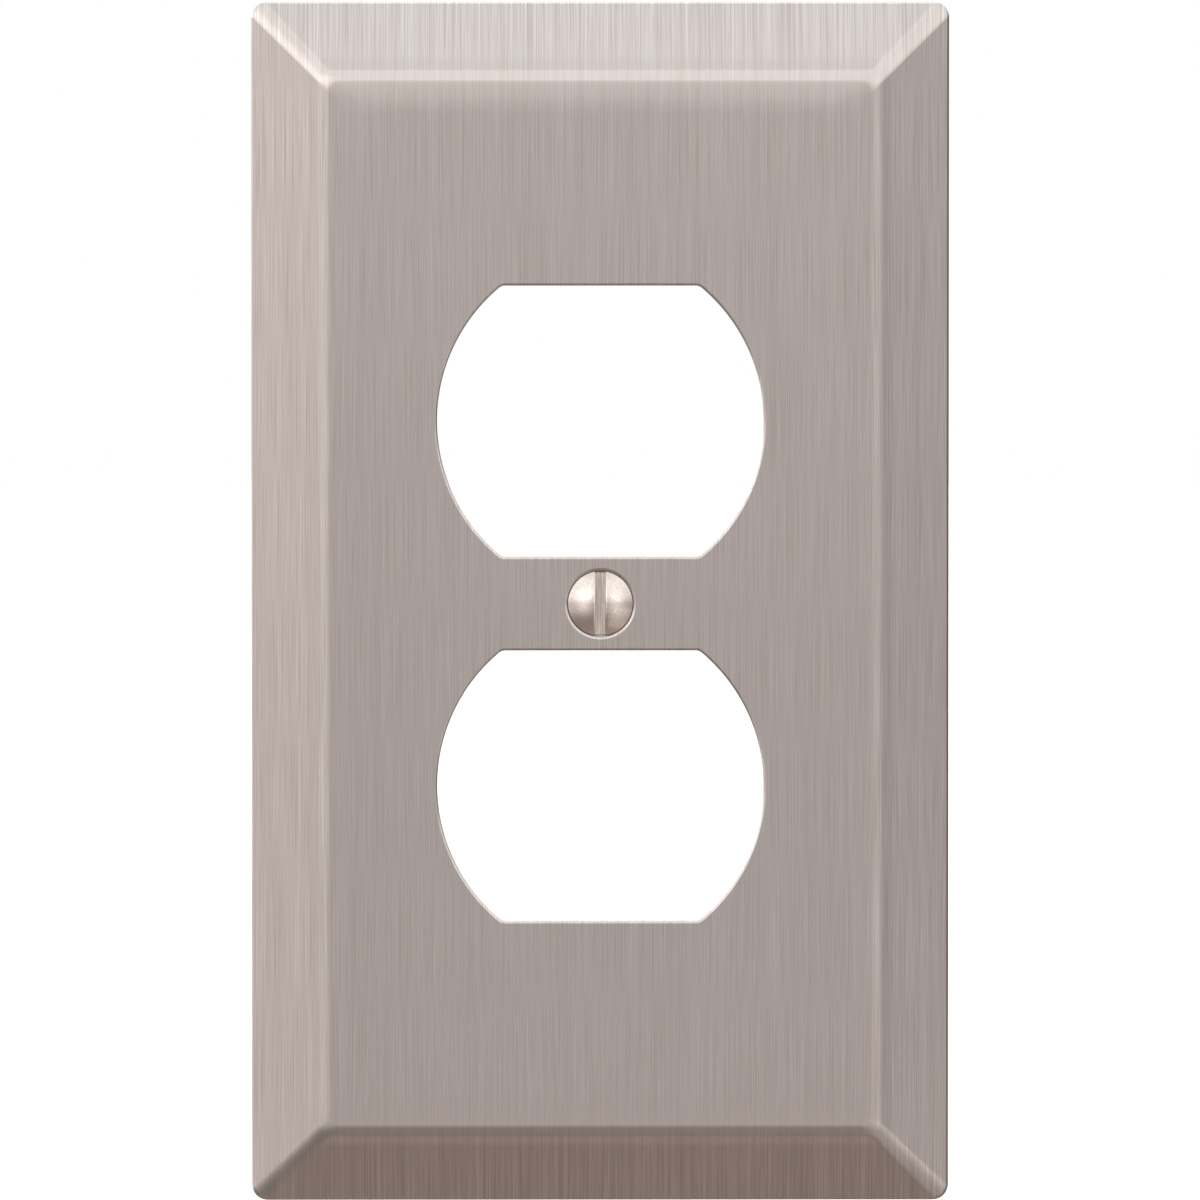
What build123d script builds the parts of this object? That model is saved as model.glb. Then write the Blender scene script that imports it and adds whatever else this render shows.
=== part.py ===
from build123d import *

import math
import os

# Wall plate for a duplex outlet: one stamped steel plate, the oval-head screw that holds it, and the
# washer that keeps the screw captive. Millimetres. +Z is up along the plate, +X is to the right, and
# the finished face looks along -Y. The wall is the plane y = 0, and the origin is where the screw's
# axis crosses it. Heights are measured from the wall towards the room, so a height h lies at y = -h.

# Plate
WIDTH = 74.5
LENGTH = 128.2
DEPTH = 5.5
SHEET = 0.91
SKIRT = 1.2  # straight edge of the pan that meets the wall
BEVEL = 7.75  # width of the sloping frame, seen from the front
CORNER_RADIUS = 1.65  # of the rim, seen from the front
FACE_CORNER_RADIUS = 1.2  # where the mitres reach the face
SHOULDER_RADIUS = 0.6  # bend between skirt and bevel
RIDGE_RADIUS = 3.5  # bend between bevel and face

# Receptacle openings: two arcs joined by two flats
SPACING = 38.89  # 1.531 in between the centres of a duplex outlet's two faces
ARC_RADIUS = 18.55
ARC_SHIFT = 1.15  # each arc's centre lies this far across the middle
OPENING_HEIGHT = 28.85
OPENING_CORNER = 0.8
DIE_ROLL = 0.35  # rounding that the punch leaves on the front edge

# Dimple for the screw's head
HEAD_ANGLE = 82.0
MOUTH_RADIUS = 3.65
HOLE_RADIUS = 2.0
MOUTH_ROUND = 0.8
DIMPLE_ROUND = 0.6

# Screw, number 6-32 oval head, half an inch long
HEAD_RADIUS = 3.44
HEAD_LAND = 0.12
CROWN = 1.1
SEAT_GAP = 0.06  # between the head's cone and the dimple
SLOT_WIDTH = 1.15
SLOT_DEPTH = 1.35
SLOT_RUN = 3 * HEAD_RADIUS  # the saw passes right across the head
SCREW_LENGTH = 12.7
THREAD_RADIUS = 1.7525
PITCH = 25.4 / 32
THREAD_DEPTH = 0.613 * PITCH
FLANK_ANGLE = 30.0
NECK_RADIUS = 1.5  # plain stretch behind the head, as thick as the thread's blank
POINT_CHAMFER = 0.5

# Retaining washer
WASHER_RADIUS = 3.8
WASHER_THICKNESS = 0.8
WASHER_HEIGHT = 0.25  # of its back above the wall
WASHER_RUNNING_GAP = 0.05
SLITS = 4
SLIT_WIDTH = 0.45
SLIT_REACH = 2.6

HALF_CONE = math.radians(HEAD_ANGLE / 2)
TOLERANCE = 0.01  # for finding edges by their height


def bevelled_pan(width, length, skirt, inset, depth, rim_radius, face_radius, shoulder, ridge):
    """A solid block with a straight skirt, four mitred bevels and a flat face, all edges rounded."""
    with BuildPart() as pan:
        with BuildSketch(Plane.XZ):
            RectangleRounded(width, length, rim_radius)
        extrude(amount=skirt)
        with BuildSketch(Plane.XZ.offset(skirt)):
            RectangleRounded(width, length, rim_radius)
        with BuildSketch(Plane.XZ.offset(depth)):
            RectangleRounded(width - 2 * inset, length - 2 * inset, face_radius)
        loft(ruled=True)
        face_edges = pan.edges().filter_by_position(Axis.Y, -depth - TOLERANCE, -depth + TOLERANCE)
        fillet(face_edges, ridge)
        if shoulder:
            shoulder_edges = pan.edges().filter_by_position(Axis.Y, -skirt - TOLERANCE, -skirt + TOLERANCE)
            fillet(shoulder_edges, shoulder)
    return pan.part


def dimple_radius(height):
    """Radius of the dimple's cone at a height above the wall."""
    return MOUTH_RADIUS - (DEPTH - height) * math.tan(HALF_CONE)


# The sheet keeps its thickness round every bend, so the inner pan's bevel is the outer one moved
# square to itself by one thickness.
SLOPE = (DEPTH - SKIRT) / BEVEL
SLOPE_LENGTH = math.hypot(1, SLOPE)
INNER_SKIRT = SKIRT - SHEET * (SLOPE_LENGTH - SLOPE)
INNER_BEVEL = (DEPTH - SHEET - SKIRT + SHEET * SLOPE_LENGTH) / SLOPE - SHEET

# The dimple's wall also keeps the sheet's thickness, and its edge is cut square to the cone.
LIP_HEIGHT = DEPTH - (MOUTH_RADIUS - HOLE_RADIUS) / math.tan(HALF_CONE)
BACK_RADIUS = HOLE_RADIUS + SHEET * math.cos(HALF_CONE)
BACK_HEIGHT = LIP_HEIGHT - SHEET * math.sin(HALF_CONE)
ROOT_HEIGHT = DEPTH - SHEET
ROOT_RADIUS = BACK_RADIUS + (ROOT_HEIGHT - BACK_HEIGHT) * math.tan(HALF_CONE)
OVERCUT = 0.1

outer_pan = bevelled_pan(
    WIDTH, LENGTH, SKIRT, BEVEL, DEPTH, CORNER_RADIUS, FACE_CORNER_RADIUS, SHOULDER_RADIUS, RIDGE_RADIUS
)
inner_pan = bevelled_pan(
    WIDTH - 2 * SHEET,
    LENGTH - 2 * SHEET,
    INNER_SKIRT,
    INNER_BEVEL,
    DEPTH - SHEET,
    CORNER_RADIUS - SHEET,
    FACE_CORNER_RADIUS - SHEET / 2,
    0,
    RIDGE_RADIUS - SHEET,
)

with BuildPart() as wall_plate:
    add(outer_pan)
    add(inner_pan, mode=Mode.SUBTRACT)
    # conical boss that the dimple stands down into
    with BuildSketch(Plane.XY):
        with BuildLine():
            Polyline(
                (0, -ROOT_HEIGHT),
                (ROOT_RADIUS, -ROOT_HEIGHT),
                (BACK_RADIUS, -BACK_HEIGHT),
                (0, -BACK_HEIGHT),
                close=True,
            )
        make_face()
    revolve(axis=Axis.Y)
    dimple_root = wall_plate.edges().filter_by(GeomType.CIRCLE).sort_by(
        lambda edge: abs(edge.radius - ROOT_RADIUS) + abs(edge.center().Y + ROOT_HEIGHT)
    )[0]
    fillet(dimple_root, DIMPLE_ROUND)
    # the cone that takes the screw's head, and the pierced hole at its foot
    with BuildSketch(Plane.XY):
        with BuildLine():
            Polyline(
                (0, -DEPTH - OVERCUT),
                (dimple_radius(DEPTH + OVERCUT), -DEPTH - OVERCUT),
                (HOLE_RADIUS, -LIP_HEIGHT),
                (
                    BACK_RADIUS + OVERCUT * math.cos(HALF_CONE),
                    -BACK_HEIGHT + OVERCUT * math.sin(HALF_CONE),
                ),
                (0, -BACK_HEIGHT + OVERCUT * math.sin(HALF_CONE)),
                close=True,
            )
        make_face()
    revolve(axis=Axis.Y, mode=Mode.SUBTRACT)
    # the two receptacle openings
    with BuildSketch(Plane.XZ.offset(DEPTH - SHEET - OVERCUT)):
        with Locations((0, SPACING / 2), (0, -SPACING / 2)):
            with BuildSketch(mode=Mode.PRIVATE) as opening:
                with Locations((ARC_SHIFT, 0)):
                    Circle(ARC_RADIUS)
                with Locations((-ARC_SHIFT, 0)):
                    Circle(ARC_RADIUS, mode=Mode.INTERSECT)
                Rectangle(2 * ARC_RADIUS, OPENING_HEIGHT, mode=Mode.INTERSECT)
                fillet(opening.vertices(), OPENING_CORNER)
            add(opening.sketch)
    extrude(amount=SHEET + 2 * OVERCUT, mode=Mode.SUBTRACT)
    front = wall_plate.faces().sort_by(Axis.Y)[0]
    rims = front.inner_wires().sort_by(lambda wire: wire.length)
    fillet(rims[0].edges(), MOUTH_ROUND)
    front = wall_plate.faces().sort_by(Axis.Y)[0]
    rims = front.inner_wires().sort_by(lambda wire: wire.length)
    fillet(rims[1].edges() + rims[2].edges(), DIE_ROLL)

wall_plate.part.label = "wall_plate"

# The head's cone runs parallel to the dimple's, one seat gap inside it.
CONE_TOP = DEPTH - (MOUTH_RADIUS - SEAT_GAP / math.cos(HALF_CONE) - HEAD_RADIUS) / math.tan(HALF_CONE)
EDGE_HEIGHT = CONE_TOP + HEAD_LAND
CROWN_HEIGHT = EDGE_HEIGHT + CROWN
CROWN_RADIUS = (HEAD_RADIUS**2 + CROWN**2) / (2 * CROWN)
NECK_TOP = CONE_TOP - (HEAD_RADIUS - NECK_RADIUS) / math.tan(HALF_CONE)
RUNOUT = THREAD_RADIUS - NECK_RADIUS  # the thread fades in over a 45 degree cone that ends at the wall
POINT_Y = SCREW_LENGTH - CONE_TOP
FLANK = THREAD_DEPTH * math.tan(math.radians(FLANK_ANGLE))
CREST = PITCH / 8
ROOT = PITCH - CREST - 2 * FLANK
GROOVES = int((POINT_Y - POINT_CHAMFER - CREST) / PITCH)


def thread_points():
    """The thread's outline as rings: crest, flank, root, flank, from the wall towards the point."""
    root_radius = THREAD_RADIUS - THREAD_DEPTH
    points = [(THREAD_RADIUS, 0)]
    for turn in range(GROOVES):
        start = turn * PITCH + CREST
        points.append((THREAD_RADIUS, start))
        points.append((root_radius, start + FLANK))
        points.append((root_radius, start + FLANK + ROOT))
        points.append((THREAD_RADIUS, start + 2 * FLANK + ROOT))
    return points


with BuildPart() as mounting_screw:
    with BuildSketch(Plane.XY):
        with BuildLine():
            RadiusArc((0, -CROWN_HEIGHT), (HEAD_RADIUS, -EDGE_HEIGHT), -CROWN_RADIUS)
            Polyline(
                (HEAD_RADIUS, -EDGE_HEIGHT),
                (HEAD_RADIUS, -CONE_TOP),
                (NECK_RADIUS, -NECK_TOP),
                (NECK_RADIUS, -RUNOUT),
                *thread_points(),
                (THREAD_RADIUS, POINT_Y - POINT_CHAMFER),
                (THREAD_RADIUS - POINT_CHAMFER, POINT_Y),
                (0, POINT_Y),
                (0, -CROWN_HEIGHT),
            )
        make_face()
    revolve(axis=Axis.Y)
    with BuildSketch(Plane.XZ.offset(CROWN_HEIGHT - SLOT_DEPTH)):
        Rectangle(SLOT_WIDTH, SLOT_RUN)
    extrude(amount=2 * SLOT_DEPTH, mode=Mode.SUBTRACT)

mounting_screw.part.label = "mounting_screw"

with BuildPart() as retaining_washer:
    with BuildSketch(Plane.XZ.offset(WASHER_HEIGHT)):
        Circle(WASHER_RADIUS)
        Circle(NECK_RADIUS + WASHER_RUNNING_GAP, mode=Mode.SUBTRACT)
        with PolarLocations(SLIT_REACH / 2, SLITS, start_angle=45):
            SlotOverall(SLIT_REACH, SLIT_WIDTH, mode=Mode.SUBTRACT)
    extrude(amount=WASHER_THICKNESS)

retaining_washer.part.label = "retaining_washer"

os.makedirs("parts", exist_ok=True)
export_step(wall_plate.part, "parts/wall_plate.step")
export_step(mounting_screw.part, "parts/mounting_screw.step")
export_step(retaining_washer.part, "parts/retaining_washer.step")
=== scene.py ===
"""A wall plate for a duplex outlet: a brushed nickel stamping, its oval-head screw and a washer.

Lengths are in metres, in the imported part's frame: +Z is up along the plate, +X is to the right, the
finished face looks along -Y, the wall is the plane y = 0, and the screw's axis is the Y axis.
"""

import logging
import math
from collections.abc import Callable
from dataclasses import dataclass
from enum import Enum

import bpy
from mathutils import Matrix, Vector


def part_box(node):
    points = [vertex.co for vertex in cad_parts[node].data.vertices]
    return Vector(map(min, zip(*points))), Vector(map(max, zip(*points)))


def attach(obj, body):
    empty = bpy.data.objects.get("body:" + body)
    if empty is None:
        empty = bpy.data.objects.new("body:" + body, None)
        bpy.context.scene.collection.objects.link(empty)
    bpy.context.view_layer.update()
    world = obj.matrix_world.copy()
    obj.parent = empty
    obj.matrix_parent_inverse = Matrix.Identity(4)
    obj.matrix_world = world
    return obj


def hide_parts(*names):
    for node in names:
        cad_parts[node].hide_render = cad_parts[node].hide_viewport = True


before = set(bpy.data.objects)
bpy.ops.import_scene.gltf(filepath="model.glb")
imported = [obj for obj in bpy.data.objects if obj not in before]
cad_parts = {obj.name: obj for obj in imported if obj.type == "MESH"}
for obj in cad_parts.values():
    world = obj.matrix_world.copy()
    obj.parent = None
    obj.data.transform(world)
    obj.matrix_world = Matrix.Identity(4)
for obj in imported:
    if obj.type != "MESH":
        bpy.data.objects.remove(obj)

log = logging.getLogger("wall_plate")

MM = 0.001

DOUBLES = 0.2e-6  # vertices nearer than this are one
AT_WALL = 1e-7  # how near the wall's plane the rim lies
TOUCHING = 1e-6  # how near the height of a fold or of the face its edges lie
NEAR = 0.01 * MM  # how near a place the edges and vertices that an operator made there lie
ALONG = 0.9  # the share of a direction along an axis, above which it runs along it
ACROSS = 0.1  # and below which it runs across it


Piece = bpy.types.Object
Tree = bpy.types.NodeTree
Socket = bpy.types.NodeSocket
Triple = tuple[float, float, float]
Tones = tuple[tuple[float, str], ...]
Test = Callable[[Vector, Vector], bool]


# Working at the bench: selecting, shaping and joining meshes


class Element(Enum):
    """What a selection in edit mode is made of."""

    VERTEX = "VERT"
    EDGE = "EDGE"
    FACE = "FACE"


class Joining(Enum):
    """How one solid meets another."""

    WELD = "UNION"
    CUT = "DIFFERENCE"
    TRIM = "INTERSECT"


def take_up(piece: Piece) -> None:
    """Makes a piece the only selected object and the active one."""
    bpy.ops.object.select_all(action="DESELECT")
    piece.select_set(True)
    bpy.context.view_layer.objects.active = piece


def start_piece(name: str, primitive: Callable, **sizes: object) -> Piece:
    """Adds a primitive and puts its place and size into its mesh.

    Args:
        name: The new object's name.
        primitive: The operator that adds it.
        **sizes: The operator's own settings.

    Returns:
        The new object, alone in the selection.
    """
    bpy.ops.object.select_all(action="DESELECT")
    primitive(**sizes)
    piece = bpy.context.active_object
    piece.name = name
    piece.data.name = name
    take_up(piece)
    bpy.ops.object.transform_apply(location=True, rotation=True, scale=True)
    return piece


def pick(piece: Piece, kind: Element, test: Test) -> None:
    """Enters edit mode with the elements that pass a test selected, and no others.

    Args:
        piece: The object to work on.
        kind: Whether vertices, edges or faces are picked.
        test: Takes an element's centre and its direction: a normal, or the way that an edge runs.
    """
    take_up(piece)
    bpy.ops.object.mode_set(mode="EDIT")
    bpy.ops.mesh.select_mode(type=kind.value)
    bpy.ops.mesh.select_all(action="DESELECT")
    bpy.ops.object.mode_set(mode="OBJECT")
    mesh = piece.data
    places = [vertex.co for vertex in mesh.vertices]
    if kind is Element.EDGE:
        for edge in mesh.edges:
            start, end = (places[index] for index in edge.vertices)
            edge.select = test((start + end) / 2, (end - start).normalized())
    elif kind is Element.FACE:
        for polygon in mesh.polygons:
            polygon.select = test(polygon.center, polygon.normal)
    else:
        for vertex in mesh.vertices:
            vertex.select = test(vertex.co, vertex.normal)
    bpy.ops.object.mode_set(mode="EDIT")


def put_down() -> None:
    """Leaves edit mode."""
    bpy.ops.object.mode_set(mode="OBJECT")


def round_edges(piece: Piece, reach: float, steps: int, test: Test) -> None:
    """Bevels the edges that pass a test.

    Args:
        piece: The object to work on.
        reach: How far the rounding goes to either side of an edge.
        steps: How many facets it has.
        test: Takes an edge's centre and the way that it runs.
    """
    pick(piece, Element.EDGE, test)
    bpy.ops.mesh.bevel(offset=reach, segments=steps, affect="EDGES")
    put_down()


def point_outwards() -> None:
    """Turns all faces of the solid in edit mode outwards, and leaves edit mode."""
    bpy.ops.mesh.select_all(action="SELECT")
    bpy.ops.mesh.normals_make_consistent(inside=False)
    put_down()


def apply_modifier(piece: Piece, kind: str, **settings: object) -> None:
    """Adds a modifier with its settings and applies it at once."""
    take_up(piece)
    modifier = piece.modifiers.new(kind.lower(), kind)
    for name, value in settings.items():
        setattr(modifier, name, value)
    bpy.ops.object.modifier_apply(modifier=modifier.name)


def combine(piece: Piece, tool: Piece, joining: Joining) -> None:
    """Welds, cuts or trims a piece with another solid, which is used up."""
    apply_modifier(piece, "BOOLEAN", object=tool, operation=joining.value, solver="EXACT")
    bpy.data.objects.remove(tool, do_unlink=True)


def extrude_ring(to_y: float, from_radius: float, to_radius: float) -> None:
    """Extrudes the selected ring round the Y axis to a new height and radius.

    Args:
        to_y: How far the new ring lies from the old one along Y.
        from_radius: The selected ring's radius.
        to_radius: The new ring's radius.
    """
    bpy.ops.mesh.extrude_edges_move(TRANSFORM_OT_translate={"value": (0, to_y, 0)})
    ratio = to_radius / from_radius
    bpy.ops.transform.resize(value=(ratio, 1, ratio), center_override=(0, 0, 0))


def settle_normals(piece: Piece, sharp_above: float) -> None:
    """Merges doubles, points the faces outwards and shades the bends smooth.

    Large flat faces keep their own normal up to their edges, so that reflections stay even across them.

    Args:
        piece: The finished mesh.
        sharp_above: The angle in degrees above which an edge stays sharp.
    """
    pick(piece, Element.VERTEX, lambda place, normal: True)
    bpy.ops.mesh.remove_doubles(threshold=DOUBLES)
    point_outwards()
    bpy.ops.object.shade_smooth_by_angle(angle=math.radians(sharp_above))
    apply_modifier(piece, "WEIGHTED_NORMAL", mode="FACE_AREA", keep_sharp=True)


def lay_grain_map(piece: Piece, name: str) -> None:
    """Lays a map in metres on a piece, with V along the brushing and U across it.

    Args:
        piece: A mesh brushed along Z.
        name: The map's name.
    """
    mesh = piece.data
    layer = mesh.uv_layers.new(name=name)
    square_on = 0.8
    for polygon in mesh.polygons:
        facing_side = abs(polygon.normal.x) > square_on
        facing_end = abs(polygon.normal.z) > square_on
        for index in polygon.loop_indices:
            place = mesh.vertices[mesh.loops[index].vertex_index].co
            across = place.y if facing_side else place.x
            along = place.y if facing_end else place.z
            layer.data[index].uv = (across, along)


# Finishes


def linear(colour: str) -> tuple[float, float, float, float]:
    """Turns an sRGB hex colour, such as "C8BFB9", into linear red, green, blue and an alpha of 1."""
    channels = [int(colour[start:start + 2], 16) / 255 for start in (0, 2, 4)]
    red, green, blue = (c / 12.92 if c <= 0.04045 else ((c + 0.055) / 1.055) ** 2.4 for c in channels)
    return red, green, blue, 1.0


def add_node(
    tree: Tree, kind: str, settings: dict | None = None, inputs: dict | None = None
) -> bpy.types.Node:
    """Adds a node with its settings, values and links.

    Args:
        tree: The node tree it joins.
        kind: The node's type, such as "ShaderNodeTexNoise".
        settings: Properties of the node itself.
        inputs: A value, or another node's output socket, for each input by name or number.

    Returns:
        The new node.
    """
    node = tree.nodes.new(kind)
    for name, value in (settings or {}).items():
        setattr(node, name, value)
    for name, value in (inputs or {}).items():
        if isinstance(value, Socket):
            tree.links.new(value, node.inputs[name])
        else:
            node.inputs[name].default_value = value
    return node


@dataclass(frozen=True)
class Finish:
    """A surface whose colour, gloss and fine relief follow one pattern.

    The tones are places on the pattern and their colours, the two outer ones first. Where the pattern
    is high the surface is glossier, by up to the gloss spread either way. A spread or a relief of 0
    leaves the gloss even or the surface smooth.
    """

    name: str
    tones: Tones
    grain_size: Triple
    grain_layers: float
    roughness: float
    gloss_spread: float = 0.0
    relief: float = 0.0
    relief_depth: float = 0.0
    metallic: float = 1.0
    gloss_from: float = 0.3
    gloss_to: float = 0.7

    def cloud(self, tree: Tree, size: Triple, layers: float) -> Socket:
        """Adds a cloudy pattern on the piece's own coordinates.

        Args:
            tree: The material's tree.
            size: A cloud's real size along X, Y and Z.
            layers: How many finer layers it has.

        Returns:
            The pattern's value.
        """
        place = add_node(tree, "ShaderNodeTexCoord")
        space = add_node(
            tree,
            "ShaderNodeMapping",
            inputs={"Vector": place.outputs["Object"], "Scale": tuple(1 / length for length in size)},
        )
        noise = add_node(
            tree,
            "ShaderNodeTexNoise",
            inputs={"Vector": space.outputs["Vector"], "Scale": 1.0, "Detail": layers},
        )
        return noise.outputs["Fac"]

    def pattern(self, tree: Tree) -> tuple[Socket, Socket]:
        """Adds the pattern, and gives it as it shades the surface and as it stands in relief."""
        grain = self.cloud(tree, self.grain_size, self.grain_layers)
        return grain, grain

    def extras(self, tree: Tree) -> dict:
        """Gives the shader's inputs that only this finish has."""
        return {}

    def make(self) -> bpy.types.Material:
        """Builds the material."""
        material = bpy.data.materials.new(self.name)
        material.use_nodes = True
        tree = material.node_tree
        tree.nodes.clear()
        shade, height = self.pattern(tree)
        tone = add_node(tree, "ShaderNodeValToRGB", inputs={"Fac": shade})
        stops = tone.color_ramp.elements
        for number, (place, colour) in enumerate(self.tones):
            stop = stops[number] if number < len(stops) else stops.new(place)
            stop.position, stop.color = place, linear(colour)
        inputs = {
            "Base Color": tone.outputs["Color"],
            "Metallic": self.metallic,
            "Roughness": self.roughness,
        }
        if self.gloss_spread:
            gloss = add_node(
                tree,
                "ShaderNodeMapRange",
                inputs={
                    "Value": shade,
                    "From Min": self.gloss_from,
                    "From Max": self.gloss_to,
                    "To Min": self.roughness + self.gloss_spread,
                    "To Max": self.roughness - self.gloss_spread,
                },
            )
            inputs["Roughness"] = gloss.outputs["Result"]
        if self.relief:
            bump = add_node(
                tree,
                "ShaderNodeBump",
                inputs={"Strength": self.relief, "Distance": self.relief_depth, "Height": height},
            )
            inputs["Normal"] = bump.outputs["Normal"]
        shader = add_node(tree, "ShaderNodeBsdfPrincipled", inputs=inputs | self.extras(tree))
        output = add_node(tree, "ShaderNodeOutputMaterial")
        tree.links.new(shader.outputs["BSDF"], output.inputs["Surface"])
        return material


@dataclass(frozen=True)
class BrushedNickel(Finish):
    """Satin nickel plate on steel, drawn lengthwise under an abrasive belt and lacquered.

    The belt leaves long fine scratches that spread a reflection sideways and keep it narrow
    lengthwise. To the eye that is a soft warm grey with thin lighter and darker hairs in it. A hair is
    the grain's size across and along the brushing.
    """

    name: str = "satin_nickel_belt_brushed"
    tones: Tones = ((0.3, "BEB2AB"), (0.7, "E8E0DB"), (0.5, "D4CAC4"))
    grain_size: Triple = (0.075 * MM, 14 * MM, 1.0)
    grain_layers: float = 3.0
    roughness: float = 0.35
    gloss_spread: float = 0.05
    relief: float = 0.25
    relief_depth: float = 0.002 * MM
    band_size: Triple = (0.9 * MM, 60 * MM, 1.0)
    band_layers: float = 1.0
    band_share: float = 0.15
    streak_roughness: float = 0.6
    anisotropy: float = 0.76
    grain_map: str = "brushing"

    def streaks(self, tree: Tree, size: Triple, layers: float) -> Socket:
        """Adds noise stretched along the brushing.

        Args:
            tree: The material's tree.
            size: A streak's width across the brushing and its length along it, and 1.
            layers: How many finer layers it has.

        Returns:
            The noise's value.
        """
        grain_map = add_node(tree, "ShaderNodeUVMap", {"uv_map": self.grain_map})
        mapping = add_node(
            tree,
            "ShaderNodeMapping",
            inputs={"Vector": grain_map.outputs["UV"], "Scale": tuple(1 / length for length in size)},
        )
        noise = add_node(
            tree,
            "ShaderNodeTexNoise",
            {"noise_dimensions": "2D"},
            {
                "Vector": mapping.outputs["Vector"],
                "Scale": 1.0,
                "Detail": layers,
                "Roughness": self.streak_roughness,
            },
        )
        return noise.outputs["Fac"]

    def pattern(self, tree: Tree) -> tuple[Socket, Socket]:
        """Adds the hairs with broad bands among them. Only the hairs stand in relief."""
        hairs = self.streaks(tree, self.grain_size, self.grain_layers)
        bands = self.streaks(tree, self.band_size, self.band_layers)
        both = add_node(
            tree,
            "ShaderNodeMix",
            {"data_type": "FLOAT"},
            {"Factor": self.band_share, "A": hairs, "B": bands},
        )
        return both.outputs[0], hairs

    def extras(self, tree: Tree) -> dict:
        """Spreads reflections across the brushing."""
        across = add_node(
            tree, "ShaderNodeTangent", {"direction_type": "UV_MAP", "uv_map": self.grain_map}
        )
        return {"Anisotropic": self.anisotropy, "Tangent": across.outputs["Tangent"]}


@dataclass(frozen=True)
class MillSteel(Finish):
    """Nickel-flashed cold-rolled steel, as it leaves the mill.

    The back of the plate and the inside of its dimple aren't brushed. They are dull and a little
    cloudy, with faint roll lines.
    """

    name: str = "cold_rolled_steel_nickel_flashed"
    tones: Tones = ((0.35, "B3AEA9"), (0.65, "C6C1BC"))
    grain_size: Triple = (9 * MM, 9 * MM, 9 * MM)
    grain_layers: float = 4.0
    roughness: float = 0.5
    gloss_spread: float = 0.08
    relief: float = 0.3
    relief_depth: float = 0.004 * MM
    roll_size: Triple = (0.5 * MM, 30 * MM, 30 * MM)
    roll_layers: float = 2.0
    roll_share: float = 0.35

    def pattern(self, tree: Tree) -> tuple[Socket, Socket]:
        """Adds the clouds with roll lines among them."""
        both = add_node(
            tree,
            "ShaderNodeMix",
            {"data_type": "FLOAT"},
            {
                "Factor": self.roll_share,
                "A": self.cloud(tree, self.grain_size, self.grain_layers),
                "B": self.cloud(tree, self.roll_size, self.roll_layers),
            },
        )
        return both.outputs[0], both.outputs[0]


@dataclass(frozen=True)
class PlatedScrewSteel(Finish):
    """Nickel plate on a rolled and tumbled steel screw.

    Tumbling leaves it smooth and bright with a faint satin of tiny dents, warmer than the plate.
    """

    name: str = "nickel_plated_steel_tumbled"
    tones: Tones = ((0.3, "DDCFC4"), (0.7, "EFE3DA"))
    grain_size: Triple = (0.25 * MM, 0.25 * MM, 0.25 * MM)
    grain_layers: float = 3.0
    roughness: float = 0.29
    gloss_spread: float = 0.05
    relief: float = 0.2
    relief_depth: float = 0.004 * MM


@dataclass(frozen=True)
class SawnSlotSteel(Finish):
    """The screw's slot, as the slotting saw left it before plating.

    Fine saw lines run along the slot. They scatter the light, so that it looks paler than the plate
    although it faces the same way.
    """

    name: str = "nickel_plated_steel_sawn"
    tones: Tones = ((0.33, "C2B3A8"), (0.6, "F4EAE2"))
    grain_size: Triple = (0.09 * MM, 0.09 * MM, 3 * MM)
    grain_layers: float = 2.0
    roughness: float = 0.5
    gloss_spread: float = 0.06
    relief: float = 0.4
    relief_depth: float = 0.008 * MM


@dataclass(frozen=True)
class NaturalNylon(Finish):
    """Undyed nylon 66, die-cut from extruded sheet.

    It is milky and slightly see-through at its thin edges, with a soft sheen and faint flow clouds.
    """

    name: str = "natural_nylon_die_cut"
    tones: Tones = ((0.35, "DCD5C3"), (0.65, "E9E4D6"))
    grain_size: Triple = (1.2 * MM, 1.2 * MM, 1.2 * MM)
    grain_layers: float = 4.0
    roughness: float = 0.42
    gloss_spread: float = 0.06
    relief: float = 0.3
    relief_depth: float = 0.01 * MM
    metallic: float = 0.0
    ior: float = 1.53
    see_through: float = 0.25
    see_through_reach: float = 0.6 * MM
    see_through_tint: Triple = (1.0, 0.9, 0.7)

    def extras(self, tree: Tree) -> dict:
        """Lets some light through the nylon."""
        return {
            "IOR": self.ior,
            "Subsurface Weight": self.see_through,
            "Subsurface Radius": self.see_through_tint,
            "Subsurface Scale": self.see_through_reach,
        }


@dataclass(frozen=True)
class PaleFloor(Finish):
    """Matt white laminate, with the faintest mottle."""

    name: str = "matt_white_laminate"
    tones: Tones = ((0.4, "F9F8F7"), (0.6, "FDFCFB"))
    grain_size: Triple = (0.4, 0.4, 0.4)
    grain_layers: float = 2.0
    roughness: float = 0.85
    metallic: float = 0.0


def dress(piece: Piece, *finishes: Finish) -> None:
    """Gives a piece its materials, the first of them all over."""
    piece.data.materials.clear()
    for finish in finishes:
        piece.data.materials.append(finish.make())


# The stamped plate


@dataclass(frozen=True)
class Bend:
    """One fold that runs round the pan, and how it is rounded."""

    inset: float
    height: float
    reach: float
    steps: int


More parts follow.
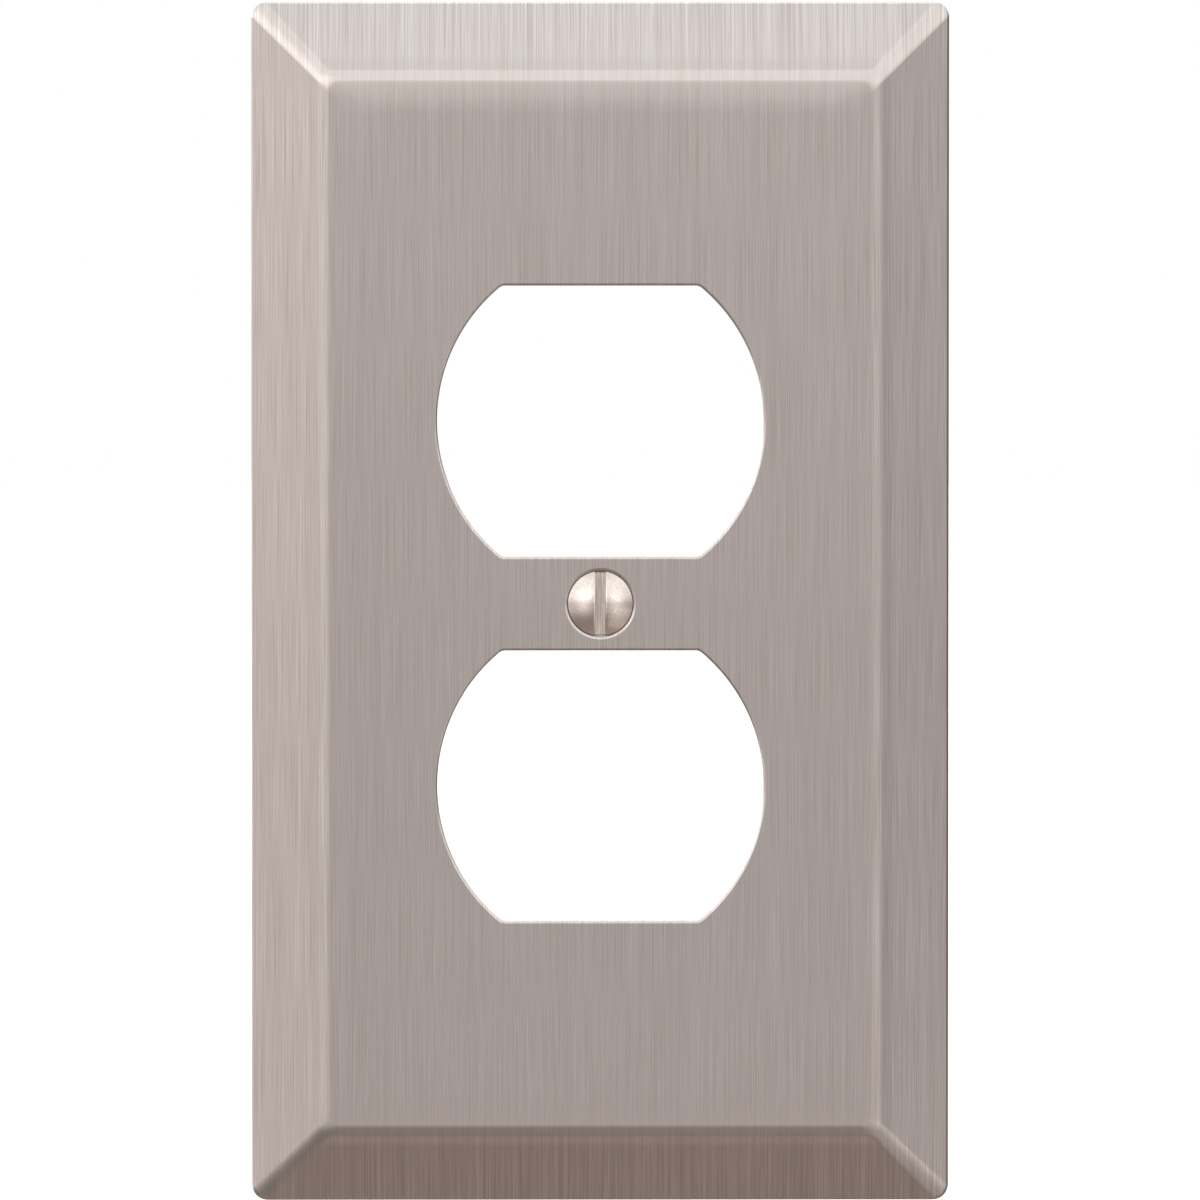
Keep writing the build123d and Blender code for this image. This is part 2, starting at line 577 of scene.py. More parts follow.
@dataclass(frozen=True)
class PanSurface:
    """One side of the pan's sheet: a straight skirt, a sloping frame and a flat face.

    The press folds the sheet a little too far at the ridge, so the frame is steepest beside it, and the
    face still falls away a little before it.
    """

    width: float
    length: float
    depth: float
    skirt: float
    bevel: float
    corner: float
    ridge: float
    shoulder: float
    overbend: float = 0.0
    overbend_width: float = 1.5 * MM
    overbend_reach: float = 0.35 * MM
    fall: float = 0.0
    fall_width: float = 4.2 * MM
    fall_rings: int = 4
    inner_shoulder: float = 0.15 * MM

    def behind(self, sheet: float) -> "PanSurface":
        """Gives the sheet's other side, one thickness back square to every flat part of this one."""
        rise = (self.depth - self.skirt) / self.bevel
        run = math.hypot(1, rise)
        return PanSurface(
            width=self.width - 2 * sheet,
            length=self.length - 2 * sheet,
            depth=self.depth - sheet,
            skirt=self.skirt - sheet * (run - rise),
            bevel=(self.depth - sheet - self.skirt + sheet * run) / rise - sheet,
            corner=self.corner - sheet / 2,
            ridge=self.ridge - sheet,
            shoulder=self.inner_shoulder,
        )

    def bends(self) -> list[Bend]:
        """Lists the folds from the skirt to the face."""
        ridge_height = self.depth - self.fall
        gentle = (ridge_height - self.skirt - self.overbend_width * self.overbend) / self.bevel
        steep = gentle + self.overbend
        tilt = math.atan(2 * self.fall / self.fall_width)
        quarter = math.radians(90)
        folds = [
            Bend(0, self.skirt, self.shoulder * math.tan((quarter - math.atan(gentle)) / 2), 5),
            Bend(self.bevel, ridge_height, self.ridge * math.tan((math.atan(steep) - tilt) / 2), 12),
        ]
        if self.overbend:
            start = self.bevel - self.overbend_width
            folds.insert(1, Bend(start, self.skirt + start * gentle, self.overbend_reach, 3))
        if self.fall:
            for ring in range(1, self.fall_rings + 1):
                left = 1 - ring / self.fall_rings
                inset = self.bevel + self.fall_width * (1 - left)
                folds.append(Bend(inset, self.depth - self.fall * left**2, 0, 0))
        return folds

    def build(self, name: str) -> Piece:
        """Makes the surface, open at the wall, with its faces outwards.

        Args:
            name: The new object's name.

        Returns:
            The open pan.
        """
        pan = start_piece(
            name,
            bpy.ops.mesh.primitive_cube_add,
            size=1,
            location=(0, -self.skirt / 2, 0),
            scale=(self.width, self.skirt, self.length),
        )
        round_edges(pan, self.corner, 10, lambda centre, way: abs(way.y) > ALONG)

        folds = self.bends()
        pick(pan, Element.FACE, lambda centre, normal: normal.y < -ALONG)
        for last, fold in zip(folds, folds[1:]):
            bpy.ops.mesh.extrude_region_move(
                TRANSFORM_OT_translate={"value": (0, last.height - fold.height, 0)}
            )
            bpy.ops.transform.resize(
                value=(
                    (self.width - 2 * fold.inset) / (self.width - 2 * last.inset),
                    1,
                    (self.length - 2 * fold.inset) / (self.length - 2 * last.inset),
                ),
                center_override=(0, -fold.height, 0),
            )
        put_down()
        for fold in folds:
            if fold.reach:
                round_edges(
                    pan,
                    fold.reach,
                    fold.steps,
                    lambda centre, way: abs(centre.y + fold.height) < TOUCHING and abs(way.y) < ACROSS,
                )

        pick(pan, Element.FACE, lambda centre, normal: centre.y > -AT_WALL and normal.y > ALONG)
        bpy.ops.mesh.delete(type="FACE")
        put_down()
        return pan


@dataclass
class WallPlate:
    """The one-piece steel plate, with its two openings and the dimple for the screw's head."""

    width: float
    length: float
    depth: float
    sheet: float = 0.91 * MM
    skirt: float = 1.2 * MM
    bevel: float = 7.75 * MM
    corner: float = 1.65 * MM
    ridge: float = 3.5 * MM
    shoulder: float = 0.6 * MM
    overbend: float = 0.08
    fall: float = 0.12 * MM
    spacing: float = 38.89 * MM
    arc_radius: float = 18.55 * MM
    arc_shift: float = 1.15 * MM
    opening_height: float = 28.85 * MM
    opening_corner: float = 0.3 * MM
    die_roll: float = 0.3 * MM
    head_angle: float = 82.0
    mouth_radius: float = 3.65 * MM
    hole_radius: float = 2.0 * MM
    mouth_reach: float = 0.2 * MM
    root_reach: float = 0.25 * MM
    buried: float = 0.3 * MM
    proud: float = 0.2 * MM
    facing_back: float = 0.2
    sharp_above: float = 40.0
    grain_map: str = "brushing"

    @classmethod
    def from_frame(cls) -> "WallPlate":
        """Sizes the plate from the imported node."""
        low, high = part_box("wall_plate")
        return cls(width=high[0] - low[0], length=high[2] - low[2], depth=-low[1])

    @property
    def front(self) -> PanSurface:
        """The finished side of the sheet."""
        sizes = (self.width, self.length, self.depth, self.skirt, self.bevel, self.corner)
        bends = (self.ridge, self.shoulder)
        return PanSurface(*sizes, *bends, overbend=self.overbend, fall=self.fall)

    @property
    def flat_end(self) -> float:
        """How far an opening's flats reach to either side."""
        return math.sqrt(self.arc_radius**2 - (self.opening_height / 2) ** 2) - self.arc_shift

    @property
    def half_cone(self) -> float:
        """Half the dimple's angle."""
        return math.radians(self.head_angle / 2)

    def shell(self) -> Piece:
        """Makes the pan's two sides and closes them along the rim."""
        plate = self.front.build("brushed_wall_plate")
        back = self.front.behind(self.sheet).build("back")
        pick(back, Element.FACE, lambda centre, normal: True)
        bpy.ops.mesh.flip_normals()
        put_down()
        take_up(plate)
        back.select_set(True)
        bpy.ops.object.join()
        pick(plate, Element.EDGE, lambda centre, way: centre.y > -AT_WALL and abs(way.y) < ACROSS)
        bpy.ops.mesh.bridge_edge_loops()
        put_down()
        return plate

    def opening_tool(self, centre: float) -> Piece:
        """Makes the punch for one opening: two arcs joined by two flats.

        Args:
            centre: The opening's height on the plate.

        Returns:
            The punch, longer than the sheet is thick.
        """
        half = self.opening_height / 2
        flat = self.flat_end
        punch = start_piece(
            "punch",
            bpy.ops.mesh.primitive_plane_add,
            size=1,
            location=(0, -self.depth - self.sheet, centre),
            rotation=(math.radians(90), 0, 0),
        )
        pick(punch, Element.VERTEX, lambda place, normal: True)
        bpy.ops.transform.resize(value=(2 * flat, 1, 2 * half), center_override=(0, 0, centre))
        put_down()
        pick(punch, Element.EDGE, lambda place, way: abs(way.z) > ALONG)
        bpy.ops.mesh.delete(type="EDGE_FACE")
        put_down()
        sweep = 2 * math.asin(half / self.arc_radius)
        for side in (-1, 1):
            pick(
                punch,
                Element.VERTEX,
                lambda place, normal: abs(place.x - side * flat) < NEAR
                and abs(place.z - centre - half) < NEAR,
            )
            bpy.ops.mesh.spin(
                steps=72,
                angle=-side * sweep,
                center=(-side * self.arc_shift, -self.depth - self.sheet, centre),
                axis=(0, 1, 0),
            )
            put_down()
        pick(punch, Element.VERTEX, lambda place, normal: True)
        bpy.ops.mesh.remove_doubles(threshold=NEAR)
        bpy.ops.mesh.edge_face_add()
        put_down()
        pick(
            punch,
            Element.VERTEX,
            lambda place, normal: abs(abs(place.x) - flat) < NEAR
            and abs(abs(place.z - centre) - half) < NEAR,
        )
        bpy.ops.mesh.bevel(offset=self.opening_corner, segments=5, affect="VERTICES")
        bpy.ops.mesh.select_all(action="SELECT")
        bpy.ops.mesh.extrude_region_move(TRANSFORM_OT_translate={"value": (0, 4 * self.sheet, 0)})
        point_outwards()
        return punch

    def cone(self, name: str, wide: tuple[float, float], narrow: tuple[float, float]) -> Piece:
        """Makes a solid cone frustum round the screw's axis.

        Args:
            name: The new object's name.
            wide: The wide end's radius and its height above the wall.
            narrow: The same for the narrow end.

        Returns:
            The frustum.
        """
        return start_piece(
            name,
            bpy.ops.mesh.primitive_cone_add,
            vertices=128,
            radius1=wide[0],
            radius2=narrow[0],
            depth=wide[1] - narrow[1],
            location=(0, -(wide[1] + narrow[1]) / 2, 0),
            rotation=(math.radians(-90), 0, 0),
        )

    def press_dimple(self, plate: Piece) -> None:
        """Forms the dimple: a conical boss behind the face, and the cone and hole through it."""
        spread = math.tan(self.half_cone)
        lip_height = self.depth - (self.mouth_radius - self.hole_radius) / spread
        back_radius = self.hole_radius + self.sheet * math.cos(self.half_cone)
        back_height = lip_height - self.sheet * math.sin(self.half_cone)
        root_height = self.depth - self.sheet
        root_radius = back_radius + (root_height - back_height) * spread
        boss = self.cone(
            "boss",
            (root_radius + self.buried * spread, root_height + self.buried),
            (back_radius, back_height),
        )
        combine(plate, boss, Joining.WELD)
        round_edges(
            plate,
            self.root_reach,
            4,
            lambda place, way: abs(place.y + root_height) < NEAR
            and abs(math.hypot(place.x, place.z) - root_radius) < 5 * NEAR
            and abs(way.y) < ACROSS,
        )
        countersink = self.cone(
            "countersink",
            (self.mouth_radius + self.proud * spread, self.depth + self.proud),
            (self.hole_radius, lip_height),
        )
        combine(plate, countersink, Joining.CUT)
        hole = self.cone(
            "hole",
            (self.hole_radius, lip_height + self.proud),
            (self.hole_radius, back_height - self.proud),
        )
        combine(plate, hole, Joining.CUT)

    def round_front_edges(self, plate: Piece) -> None:
        """Gives the openings their die roll and the dimple its soft mouth."""
        reach = self.arc_radius + self.spacing / 2

        def on_face(place: Vector, way: Vector) -> bool:
            """Tells whether an edge lies on the front face, round one of its openings."""
            return abs(place.y + self.depth) < TOUCHING and abs(way.y) < ACROSS

        def round_opening(place: Vector, way: Vector) -> bool:
            """Tells whether an edge is on the outline of a receptacle opening."""
            if not on_face(place, way) or math.hypot(place.x, place.z) > reach:
                return False
            half = self.opening_height / 2
            height = abs(abs(place.z) - self.spacing / 2)
            radius = math.hypot(abs(place.x) + self.arc_shift, height)
            on_arc = abs(radius - self.arc_radius) < 2 * NEAR and height <= half
            on_flat = abs(height - half) < NEAR and abs(place.x) <= self.flat_end
            near_corner = math.hypot(abs(place.x) - self.flat_end, height - half)
            return on_arc or on_flat or near_corner < 1.2 * self.opening_corner

        round_edges(plate, self.die_roll, 4, round_opening)
        round_edges(
            plate,
            self.mouth_reach,
            4,
            lambda place, way: on_face(place, way)
            and abs(math.hypot(place.x, place.z) - self.mouth_radius) < 3 * NEAR,
        )

    def build(self) -> Piece:
        """Makes the plate's mesh."""
        plate = self.shell()
        self.press_dimple(plate)
        for side in (-1, 1):
            combine(plate, self.opening_tool(side * self.spacing / 2), Joining.CUT)
        self.round_front_edges(plate)
        settle_normals(plate, self.sharp_above)
        lay_grain_map(plate, self.grain_map)
        return plate

    def dress(self, plate: Piece) -> None:
        """Puts the brushed finish outside, and plain plated steel where the belt doesn't reach."""
        dress(plate, BrushedNickel(grain_map=self.grain_map), MillSteel())
        inside = self.front.behind(self.sheet)
        for polygon in plate.data.polygons:
            place, normal = polygon.center, polygon.normal
            hidden = normal.y > self.facing_back
            skirt_inside = -place.y < inside.skirt + 0.1 * MM and (
                abs(place.x) < self.width / 2 - 0.6 * self.sheet
                and abs(place.z) < self.length / 2 - 0.6 * self.sheet
            )
            radius = math.hypot(place.x, place.z)
            in_dimple = radius < self.mouth_radius - 5 * NEAR and -place.y < self.depth - 5 * NEAR
            polygon.material_index = 1 if hidden or skirt_inside or in_dimple else 0

    def make(self) -> Piece:
        """Builds, dresses and mounts the plate."""
        plate = self.build()
        self.dress(plate)
        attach(plate, "plate")
        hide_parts("wall_plate")
        return plate


# The screw


@dataclass
class OvalHeadScrew:
    """A slotted oval-head machine screw, number 6-32, with a plain neck behind its head."""

    head_radius: float
    crown_y: float
    point_y: float
    crown: float = 1.1 * MM
    land: float = 0.12 * MM
    head_angle: float = 82.0
    slot_width: float = 1.15 * MM
    slot_depth: float = 1.35 * MM
    slot_edge: float = 0.13 * MM
    edge_slope: float = 22.0
    neck_radius: float = 1.5 * MM
    thread_radius: float = 1.7525 * MM
    pitch: float = 25.4 / 32 * MM
    thread_depth: float = 0.487 * MM
    point_chamfer: float = 0.5 * MM
    thread_start: float = 0.0
    thread_sunk: float = 0.07 * MM
    flank_angle: float = 30.0
    crown_rings: int = 14
    slot_corner: float = 0.12 * MM
    head_steps: int = 98
    core_steps: int = 50
    envelope_steps: int = 74
    thread_steps: int = 64
    sharp_above: float = 34.0

    @classmethod
    def from_frame(cls) -> "OvalHeadScrew":
        """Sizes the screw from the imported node."""
        low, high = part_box("mounting_screw")
        return cls(head_radius=high[0], crown_y=low[1], point_y=high[1])

    def ring(self, name: str, radius: float, y: float, steps: int) -> Piece:
        """Starts a turned solid from a filled disc across the screw's axis."""
        return start_piece(
            name,
            bpy.ops.mesh.primitive_circle_add,
            vertices=steps,
            radius=radius,
            fill_type="NGON",
            location=(0, y, 0),
            rotation=(math.radians(90), 0, 0),
        )

    def turn(self, name: str, outline: list[tuple[float, float]], steps: int) -> Piece:
        """Turns a solid round the Y axis from its stations, as on a lathe.

        Args:
            name: The new object's name.
            outline: Each station's radius and place along Y, from one end to the other.
            steps: How many facets it has round the axis. Solids that meet have different numbers, so
                that no two edges lie in the same plane through the axis and the joins stay clean.

        Returns:
            The solid, closed at both ends.
        """
        (radius, y), *rest = outline
        solid = self.ring(name, radius, y, steps)
        pick(solid, Element.EDGE, lambda place, way: True)
        for to_radius, to_y in rest:
            extrude_ring(to_y - y, radius, to_radius)
            radius, y = to_radius, to_y
        bpy.ops.mesh.edge_face_add()
        put_down()
        return solid

    def head(self) -> Piece:
        """Makes the crowned head, its cone and the neck, with the slot cut."""
        crown_radius = (self.head_radius**2 + self.crown**2) / (2 * self.crown)
        steepest = math.asin(self.head_radius / crown_radius)
        rings = self.crown_rings
        crown = [
            (
                crown_radius * math.sin(steepest * step / rings),
                self.crown_y + crown_radius * (1 - math.cos(steepest * step / rings)),
            )
            for step in range(1, rings + 1)
        ]
        edge_y = self.crown_y + self.crown
        cone_y = edge_y + self.land
        half_cone = math.radians(self.head_angle / 2)
        neck_y = cone_y + (self.head_radius - self.neck_radius) / math.tan(half_cone)
        head = self.turn(
            "screw",
            [
                *crown,
                (self.head_radius, cone_y),
                (self.neck_radius, neck_y),
                (self.neck_radius, 0.2 * MM),
            ],
            steps=self.head_steps,
        )
        slot_floor = self.crown_y + self.slot_depth
        cutter = start_piece(
            "slotting_saw",
            bpy.ops.mesh.primitive_cube_add,
            size=1,
            location=(0, slot_floor - self.slot_depth, 0),
            scale=(self.slot_width, 2 * self.slot_depth, 3 * self.head_radius),
        )
        round_edges(
            cutter,
            self.slot_corner,
            4,
            lambda place, way: abs(way.z) > ALONG and abs(place.y - slot_floor) < NEAR,
        )
        combine(head, cutter, Joining.CUT)
        combine(head, self.slot_edge_tool(crown_radius), Joining.CUT)
        return head

    def slot_edge_tool(self, crown_radius: float) -> Piece:
        """Makes the ring that takes the burr off the slot's two edges, all along the crown.

        Both edges are arcs round the crown's centre, so the tool is turned round a line through it.
        """
        half = self.slot_width / 2 + self.slot_edge
        rim = math.sqrt(crown_radius**2 - half**2)
        waist = rim - half * math.tan(math.radians(self.edge_slope))
        centre_y = self.crown_y + crown_radius
        spindle = start_piece(
            "spindle",
            bpy.ops.mesh.primitive_circle_add,
            vertices=256,
            radius=rim,
            fill_type="NGON",
            location=(-half, centre_y, 0),
            rotation=(0, math.radians(90), 0),
        )
        pick(spindle, Element.EDGE, lambda place, way: True)
        for ratio in (waist / rim, rim / waist):
            bpy.ops.mesh.extrude_edges_move(TRANSFORM_OT_translate={"value": (half, 0, 0)})
            bpy.ops.transform.resize(value=(1, ratio, ratio), center_override=(0, centre_y, 0))
        bpy.ops.mesh.edge_face_add()
        point_outwards()
        ring = start_piece(
            "ring",
            bpy.ops.mesh.primitive_cylinder_add,
            vertices=256,
            radius=crown_radius + 1 * MM,
            depth=2 * half - 0.002 * MM,
            location=(0, centre_y, 0),
            rotation=(0, math.radians(90), 0),
        )
        combine(ring, spindle, Joining.CUT)
        return ring

    def thread(self) -> Piece:
        """Rolls the thread: a helical ridge on a core, tapered in at the neck and cut at the point."""
        flank = math.tan(math.radians(self.flank_angle))
        crest_half = self.pitch / 16
        root_radius = self.thread_radius - self.thread_depth
        base_half = crest_half + (self.thread_depth + self.thread_sunk) * flank
        turns = math.ceil((self.point_y - self.thread_start) / self.pitch) + 2
        base_radius = root_radius - self.thread_sunk
        ridge = start_piece("ridge", bpy.ops.mesh.primitive_plane_add, size=1)
        middle = self.thread_start - self.pitch
        pick(ridge, Element.VERTEX, lambda place, normal: True)
        bpy.ops.transform.resize(value=(self.thread_radius - base_radius, 2 * base_half, 1))
        bpy.ops.transform.translate(value=((base_radius + self.thread_radius) / 2, middle, 0))
        put_down()
        pick(ridge, Element.VERTEX, lambda place, normal: place.x > root_radius)
        bpy.ops.transform.resize(value=(1, crest_half / base_half, 1), center_override=(0, middle, 0))
        bpy.ops.mesh.select_all(action="SELECT")
        bpy.ops.mesh.delete(type="ONLY_FACE")
        put_down()
        apply_modifier(
            ridge,
            "SCREW",
            axis="Y",
            angle=math.tau,
            screw_offset=self.pitch,
            iterations=turns,
            steps=self.thread_steps,
            render_steps=self.thread_steps,
            use_normal_calculate=True,
            use_merge_vertices=False,
        )
        pick(ridge, Element.VERTEX, lambda place, normal: False)
        bpy.ops.mesh.select_non_manifold()
        bpy.ops.mesh.edge_face_add()
        point_outwards()
        core = self.turn(
            "core",
            [(root_radius, -0.1 * MM), (root_radius, self.point_y + self.pitch)],
            steps=self.core_steps,
        )
        combine(core, ridge, Joining.WELD)
        runout = self.thread_radius - self.neck_radius
        spare, inside = 0.01 * MM, 0.3 * MM
        envelope = self.turn(
            "envelope",
            [
                (self.neck_radius - inside, self.thread_start - runout - inside),
                (self.thread_radius + spare, self.thread_start + spare),
                (self.thread_radius + spare, self.point_y - self.point_chamfer),
                (self.thread_radius - self.point_chamfer, self.point_y),
            ],
            steps=self.envelope_steps,
        )
        combine(core, envelope, Joining.TRIM)
        return core

    def make(self) -> Piece:
        """Builds, dresses and mounts the screw."""
        screw = self.head()
        combine(screw, self.thread(), Joining.WELD)
        settle_normals(screw, self.sharp_above)
        screw.name = "oval_head_screw"
        screw.data.name = "oval_head_screw"
        dress(screw, PlatedScrewSteel(), SawnSlotSteel())
        half_slot = self.slot_width / 2 + NEAR / 2
        slot_floor = self.crown_y + self.slot_depth
        for polygon in screw.data.polygons:
            place, normal = polygon.center, polygon.normal
            wall = abs(normal.x) > ALONG or abs(place.y - slot_floor) < 15 * NEAR
            in_slot = abs(place.x) < half_slot and place.y < slot_floor + NEAR
            polygon.material_index = 1 if in_slot and wall else 0
        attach(screw, "screw")
        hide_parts("mounting_screw")
        return screw


# The washer


@dataclass
class RetainingWasher:
    """A thin nylon washer whose four slits let it snap over the thread and stay on the neck."""

    radius: float
    front_y: float
    back_y: float
    hole_radius: float = 1.55 * MM
    slits: int = 4
    slit_width: float = 0.45 * MM
    slit_reach: float = 2.6 * MM
    edge_round: float = 0.08 * MM
    facets: int = 96
    bore_spare: float = 1 * MM
    sharp_above: float = 35.0

    @classmethod
    def from_frame(cls) -> "RetainingWasher":
        """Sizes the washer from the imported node."""
        low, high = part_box("retaining_washer")
        return cls(radius=high[0], front_y=low[1], back_y=high[1])

    def disc(self, name: str, radius: float, spare: float) -> Piece:
        """Makes a disc across the screw's axis, thicker than the washer by a spare at each end."""
        return start_piece(
            name,
            bpy.ops.mesh.primitive_cylinder_add,
            vertices=self.facets,
            radius=radius,
            depth=self.back_y - self.front_y + 2 * spare,
            location=(0, (self.front_y + self.back_y) / 2, 0),
            rotation=(math.radians(90), 0, 0),
        )

    def slit_tool(self, angle: float) -> Piece:
        """Makes the blade for one slit, round at its outer end."""
        length = self.slit_reach
        blade = start_piece(
            "blade",
            bpy.ops.mesh.primitive_cube_add,
            size=1,
            location=(
                math.cos(angle) * length / 2,
                (self.front_y + self.back_y) / 2,
                math.sin(angle) * length / 2,
            ),
            rotation=(0, -angle, 0),
            scale=(length, 2 * (self.back_y - self.front_y), self.slit_width),
        )
        almost_half = 0.49
        round_edges(
            blade,
            almost_half * self.slit_width,
            6,
            lambda place, way: abs(way.y) > ALONG and math.hypot(place.x, place.z) > length / 2,
        )
        return blade

    def make(self) -> Piece:
        """Builds, dresses and mounts the washer."""
        washer = self.disc("nylon_retaining_washer", self.radius, 0)
        near_rim = 0.9 * self.radius
        round_edges(
            washer,
            self.edge_round,
            3,
            lambda place, way: abs(way.y) < ACROSS and math.hypot(place.x, place.z) > near_rim,
        )
        combine(washer, self.disc("bore", self.hole_radius, self.bore_spare), Joining.CUT)
        for slit in range(self.slits):
            angle = math.radians(45) + math.tau * slit / self.slits
            combine(washer, self.slit_tool(angle), Joining.CUT)
        settle_normals(washer, self.sharp_above)
        dress(washer, NaturalNylon())
        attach(washer, "washer")
        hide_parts("retaining_washer")
        return washer


# The studio


@dataclass(frozen=True)
class Surroundings:
    """The white room as the metal sees it, by direction, with the object's front at azimuth 0.

    It is bright above and to both sides of straight ahead, brightest on the left, and dark below and
    far round to the right. Elevations are in degrees above level, and azimuths in degrees to the right.
    """

    by_elevation: tuple[tuple[float, Triple], ...] = (
        (-90, (0.04, 0.04, 0.043)), (-79, (0.20, 0.18, 0.175)), (-69, (0.52, 0.43, 0.405)),
        (-60, (0.33, 0.26, 0.24)), (-50, (0.29, 0.25, 0.24)), (-30, (0.24, 0.225, 0.22)),
        (-15, (0.46, 0.44, 0.435)), (-9, (0.65, 0.62, 0.61)), (-5, (0.215, 0.20, 0.20)),
        (0, (0.41, 0.40, 0.40)), (6, (0.99, 0.98, 0.99)), (20, (1.05, 1.06, 1.08)),
        (36, (1.14, 1.16, 1.18)), (46, (1.24, 1.27, 1.29)), (57, (0.85, 0.865, 0.88)),
        (67, (0.98, 0.99, 1.01)), (80, (1.7, 1.72, 1.74)), (90, (2.2, 2.2, 2.2)),
    )
    by_azimuth: tuple[tuple[float, float], ...] = (
        (-180, 1.0), (-150, 2.9), (-110, 2.9), (-85, 1.55), (-72, 1.55), (-58, 1.27),
        (-34, 2.65), (-12, 0.68), (0, 0.88), (12, 0.88), (34, 2.2), (58, 0.88),
        (72, 0.85), (85, 0.4), (110, 0.05), (165, 0.05), (180, 1.0),
    )
    brightest: float = 3.0
    side_focus: float = 16.0
    backing: float = 0.7

    def ramp(
        self,
        tree: Tree,
        angle: Socket,
        limit: float,
        levels: list[tuple],
    ) -> Socket:
        """Adds a ramp of colours over an angle.

        Args:
            tree: The world's tree.
            angle: The angle in radians.
            limit: The ramp's end in degrees, on either side of 0.
            levels: Each stop's angle in degrees and its colour, as fractions of the brightest.

        Returns:
            The ramp's colour.
        """
        place = add_node(
            tree,
            "ShaderNodeMapRange",
            inputs={
                "Value": angle,
                "From Min": -math.radians(limit),
                "From Max": math.radians(limit),
            },
        )
        ramp = add_node(tree, "ShaderNodeValToRGB", inputs={"Fac": place.outputs["Result"]})
        ramp.color_ramp.interpolation = "EASE"
        stops = ramp.color_ramp.elements
        stops.remove(stops[1])
        for number, (degrees, colour) in enumerate(levels):
            position = (degrees + limit) / (2 * limit)
            stop = stops[0] if number == 0 else stops.new(position)
            stop.position = position
            stop.color = (*(channel / self.brightest for channel in colour), 1)
        return ramp.outputs["Color"]

    def make(self) -> bpy.types.World:
        """Builds the world, which the camera sees as plain white."""
        world = bpy.data.worlds.new("studio")
        world.use_nodes = True
        tree = world.node_tree
        tree.nodes.clear()
        way = add_node(tree, "ShaderNodeTexCoord")
        part = add_node(tree, "ShaderNodeSeparateXYZ", inputs={"Vector": way.outputs["Generated"]})
        found = {axis: part.outputs[axis] for axis in "XYZ"}
        full = self.brightest**2
        # the sides matter less and less towards straight up and straight down, and the room is
        # brighter high up behind the object, where its front doesn't look
        for name, operation, *terms in (
            ("height", "ARCSINE", "Z"),
            ("ahead", "MULTIPLY", "Y", -1.0),
            ("turn", "ARCTAN2", "X", "ahead"),
            ("level", "COSINE", "height"),
            ("levelness", "POWER", "level", self.side_focus),
            ("behind", "MINIMUM", "Y", "Z"),
            ("above_behind", "MAXIMUM", "behind", 0.0),
            ("backing", "MULTIPLY_ADD", "above_behind", self.backing * full, full),
        ):
            inputs = {number: found.get(term, term) for number, term in enumerate(terms)}
            result = add_node(tree, "ShaderNodeMath", {"operation": operation}, inputs)
            found[name] = result.outputs[0]
        above = self.ramp(tree, found["height"], 90, list(self.by_elevation))
        around = self.ramp(
            tree, found["turn"], 180, [(degrees, (level,) * 3) for degrees, level in self.by_azimuth]
        )
        side = add_node(
            tree,
            "ShaderNodeMix",
            {"data_type": "FLOAT"},
            {"Factor": found["levelness"], "A": 1 / self.brightest, "B": around},
        )
        strength = add_node(
            tree,
            "ShaderNodeMath",
            {"operation": "MULTIPLY"},
            {0: side.outputs[0], 1: found["backing"]},
        )
        lit = add_node(
            tree, "ShaderNodeBackground", inputs={"Color": above, "Strength": strength.outputs[0]}
        )
        seen = add_node(tree, "ShaderNodeBackground", inputs={"Color": (1, 1, 1, 1), "Strength": 1.0})
        path = add_node(tree, "ShaderNodeLightPath")
        both = add_node(
            tree,
            "ShaderNodeMixShader",
            inputs={
                0: path.outputs["Is Camera Ray"],
                1: lit.outputs["Background"],
                2: seen.outputs["Background"],
            },
        )
        output = add_node(tree, "ShaderNodeOutputWorld")
        tree.links.new(both.outputs["Shader"], output.inputs["Surface"])
        return world


@dataclass(frozen=True)
class Softbox:
    """A square of soft light, by its direction from the object, in degrees, and its radiance."""

    name: str
    azimuth: float
    elevation: float
    distance: float
    size: float
    radiance: float
    tint: str = "FFFFFF"


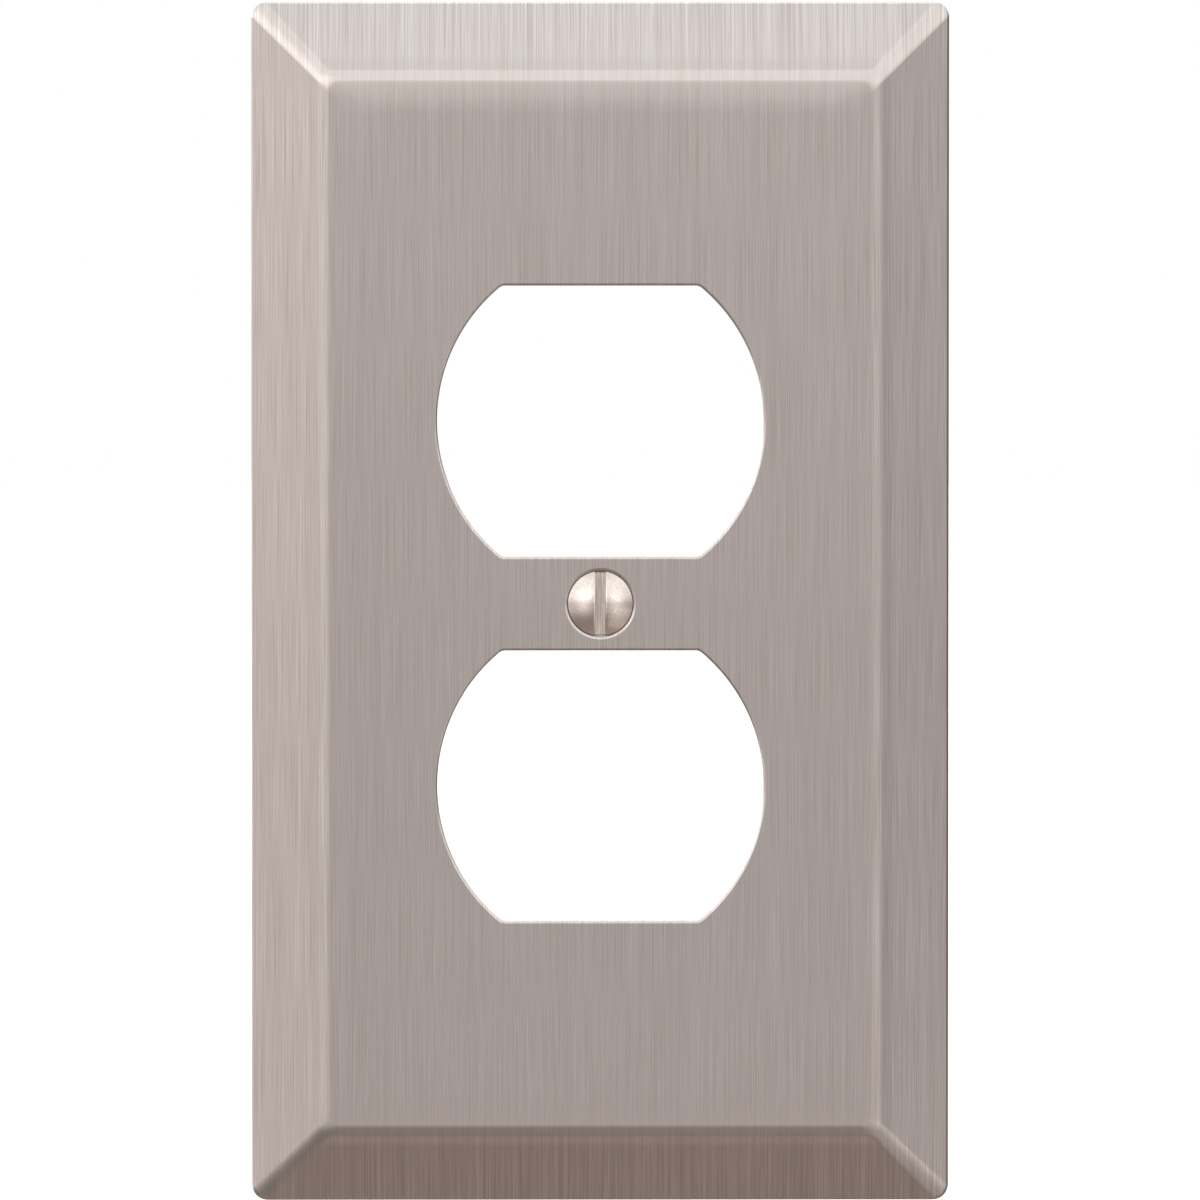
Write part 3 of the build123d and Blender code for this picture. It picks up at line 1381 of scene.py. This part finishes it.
@dataclass
class Studio:
    """A pale floor, the white room, two softboxes and the camera."""

    distance: float = 1.5
    above: float = 2.5
    left: float = 0.4
    view_height: float = 128.34 * MM
    raised: float = 0.14 * MM
    sensor: float = 36.0
    clip_start: float = 0.1
    clip_end: float = 40.0
    floor_drop: float = 0.2
    floor_size: float = 12.0
    softboxes: tuple[Softbox, ...] = (
        Softbox("key_softbox", azimuth=-26, elevation=18, distance=1.0, size=0.3, radiance=0.8),
        Softbox(
            "fill_card",
            azimuth=44,
            elevation=-31,
            distance=1.0,
            size=0.75,
            radiance=0.35,
            tint="FFFAF7",
        ),
    )

    def towards(self, azimuth: float, elevation: float) -> Vector:
        """Gives the direction from the object at an azimuth to the right and an elevation."""
        across, up = math.radians(azimuth), math.radians(elevation)
        level = math.cos(up)
        return Vector((math.sin(across) * level, -math.cos(across) * level, math.sin(up)))

    def aim(self, piece: Piece, way: Vector, distance: float) -> None:
        """Stands a camera or light off in a direction, facing the object."""
        piece.location = way * distance
        piece.rotation_mode = "QUATERNION"
        piece.rotation_quaternion = (-way).to_track_quat("-Z", "Y")
        bpy.context.scene.collection.objects.link(piece)

    def camera(self) -> None:
        """Sets the camera nearly square on, well back and with a long lens."""
        data = bpy.data.cameras.new("camera")
        data.sensor_width = self.sensor
        data.sensor_fit = "AUTO"
        data.lens = self.sensor / self.view_height * self.distance
        data.clip_start = self.clip_start
        data.clip_end = self.clip_end
        camera = bpy.data.objects.new("camera", data)
        self.aim(camera, self.towards(-self.left, self.above), self.distance)
        camera.location.z += self.raised
        bpy.context.scene.camera = camera

    def hang(self, softbox: Softbox) -> None:
        """Hangs a softbox, which the camera doesn't see."""
        data = bpy.data.lights.new(softbox.name, "AREA")
        data.shape = "SQUARE"
        data.size = softbox.size
        data.color = linear(softbox.tint)[:3]
        data.energy = softbox.radiance * math.pi * softbox.size**2
        lamp = bpy.data.objects.new(softbox.name, data)
        lamp.visible_camera = False
        self.aim(lamp, self.towards(softbox.azimuth, softbox.elevation), softbox.distance)

    def floor(self) -> None:
        """Lays the floor well below the plate, out of the metal's reflections."""
        floor = start_piece(
            "floor",
            bpy.ops.mesh.primitive_plane_add,
            size=self.floor_size,
            location=(0, 0, -self.floor_drop),
        )
        dress(floor, PaleFloor())
        floor.visible_glossy = False

    def make(self) -> None:
        """Sets the whole studio up."""
        self.camera()
        for softbox in self.softboxes:
            self.hang(softbox)
        self.floor()
        scene = bpy.context.scene
        scene.world = Surroundings().make()
        scene.view_settings.view_transform = "Standard"
        scene.view_settings.look = "None"
        scene.view_settings.exposure = 0
        scene.view_settings.gamma = 1


def main() -> None:
    """Builds the plate, the screw, the washer and the studio."""
    logging.basicConfig(level=logging.INFO, format="%(name)s: %(message)s")
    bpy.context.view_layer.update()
    for piece in (
        WallPlate.from_frame().make(),
        OvalHeadScrew.from_frame().make(),
        RetainingWasher.from_frame().make(),
    ):
        log.info("%s: %d faces", piece.name, len(piece.data.polygons))
    Studio().make()


if __name__ == "__main__":
    main()
